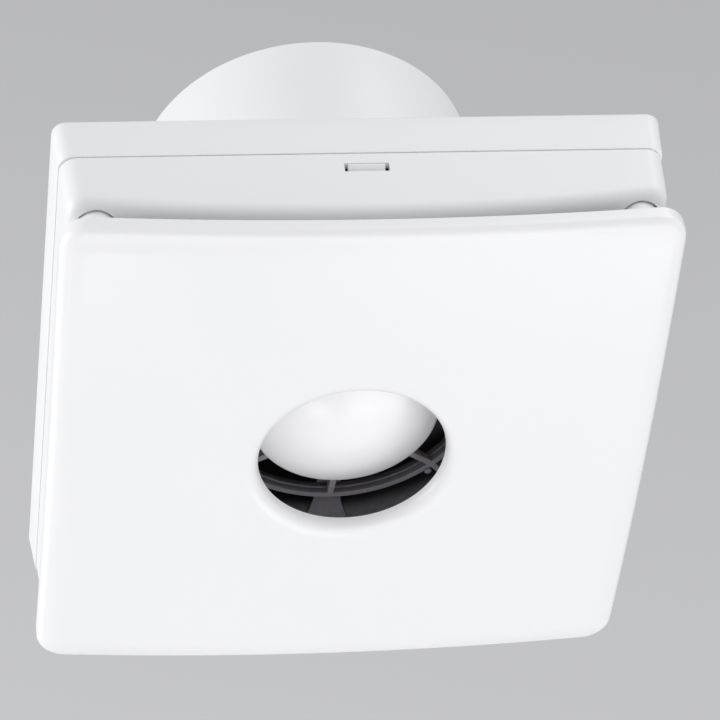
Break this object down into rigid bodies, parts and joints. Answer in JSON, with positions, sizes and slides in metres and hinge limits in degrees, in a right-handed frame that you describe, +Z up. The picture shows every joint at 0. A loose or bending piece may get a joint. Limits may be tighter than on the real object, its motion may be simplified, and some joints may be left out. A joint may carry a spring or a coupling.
{
  "type": "bathroom extractor fan",
  "caption": "Square wall extractor fan for a round duct, with a domed stand-off panel, a central intake hole, a white dome over a ribbed guard and an axial impeller.",
  "frame": {"origin": "centre of the flat back face of the housing, on the axis of the duct, in the plane of the wall", "axes": "+Y into the wall along the duct, -Y towards the room, +X right and +Z up as seen from the room"},
  "size_m": [0.168, 0.1217, 0.168],
  "materials": {
    "gloss_white": "glossy injection-moulded white plastic",
    "white_abs": "satin white moulded plastic",
    "dome_white": "polished white plastic",
    "dark_grey_abs": "fine-textured dark grey plastic",
    "impeller_abs": "smooth dark grey plastic",
    "lamination_steel": "stacked electrical steel sheets",
    "plated_steel": "zinc-plated steel",
    "sintered_bronze": "oil-filled sintered bronze",
    "winding_copper": "enamelled copper wire, layer wound",
    "bobbin_nylon": "natural nylon",
    "terminal_nylon": "natural nylon",
    "brass": "turned brass",
    "grommet_rubber": "soft black rubber",
    "red_pvc": "PVC wire insulation",
    "blue_pvc": "PVC wire insulation"
  },
  "bodies": {
    "housing": {"cable_clamp": "terminal_nylon", "cable_grommet": "grommet_rubber", "clamp_screw_1": "plated_steel", "clamp_screw_2": "plated_steel", "coil_bobbin": "bobbin_nylon", "coil_winding": "winding_copper", "dome_cap": "dome_white", "fan_frame": "dark_grey_abs", "frame_screw_1": "plated_steel", "frame_screw_2": "plated_steel", "frame_screw_3": "plated_steel", "frame_screw_4": "plated_steel", "front_bearing": "sintered_bronze", "front_bearing_bracket": "plated_steel", "front_cover": "white_abs", "inlet_guard": "dark_grey_abs", "lead_live": "red_pvc", "lead_neutral": "blue_pvc", "motor_nut_bottom": "plated_steel", "motor_nut_top": "plated_steel", "motor_screw_bottom": "plated_steel", "motor_screw_top": "plated_steel", "rear_bearing": "sintered_bronze", "rear_bearing_bracket": "plated_steel", "rear_housing": "white_abs", "stator_core": "lamination_steel", "terminal_block": "terminal_nylon", "terminal_screw_1": "brass", "terminal_screw_2": "brass", "terminal_screw_3": "brass"},
    "rotor": {"impeller": "impeller_abs", "impeller_clip": "plated_steel", "motor_shaft": "plated_steel", "rotor_core": "lamination_steel"},
    "panel": {"front_panel": "gloss_white"},
    "upper_latch": {"latch_top": "white_abs"},
    "lower_latch": {"latch_bottom": "white_abs"}
  },
  "joints": [
    {"name": "impeller_spin", "type": "hinge", "parent": "housing", "child": "rotor", "pos_m": [0, 0, 0], "axis": [0, 1, 0], "continuous": true},
    {"name": "panel_pull_off", "type": "slide", "parent": "housing", "child": "panel", "axis": [0, -1, 0], "range_m": [0, 0.03]},
    {"name": "upper_latch_press", "type": "hinge", "parent": "housing", "child": "upper_latch", "pos_m": [0, -0.004, 0.0783], "axis": [1, 0, 0], "range_deg": [0, 9], "stiffness_Nm_per_rad": 0.5},
    {"name": "lower_latch_press", "type": "hinge", "parent": "housing", "child": "lower_latch", "pos_m": [0, -0.004, -0.0783], "axis": [-1, 0, 0], "range_deg": [0, 9], "stiffness_Nm_per_rad": 0.5}
  ]
}
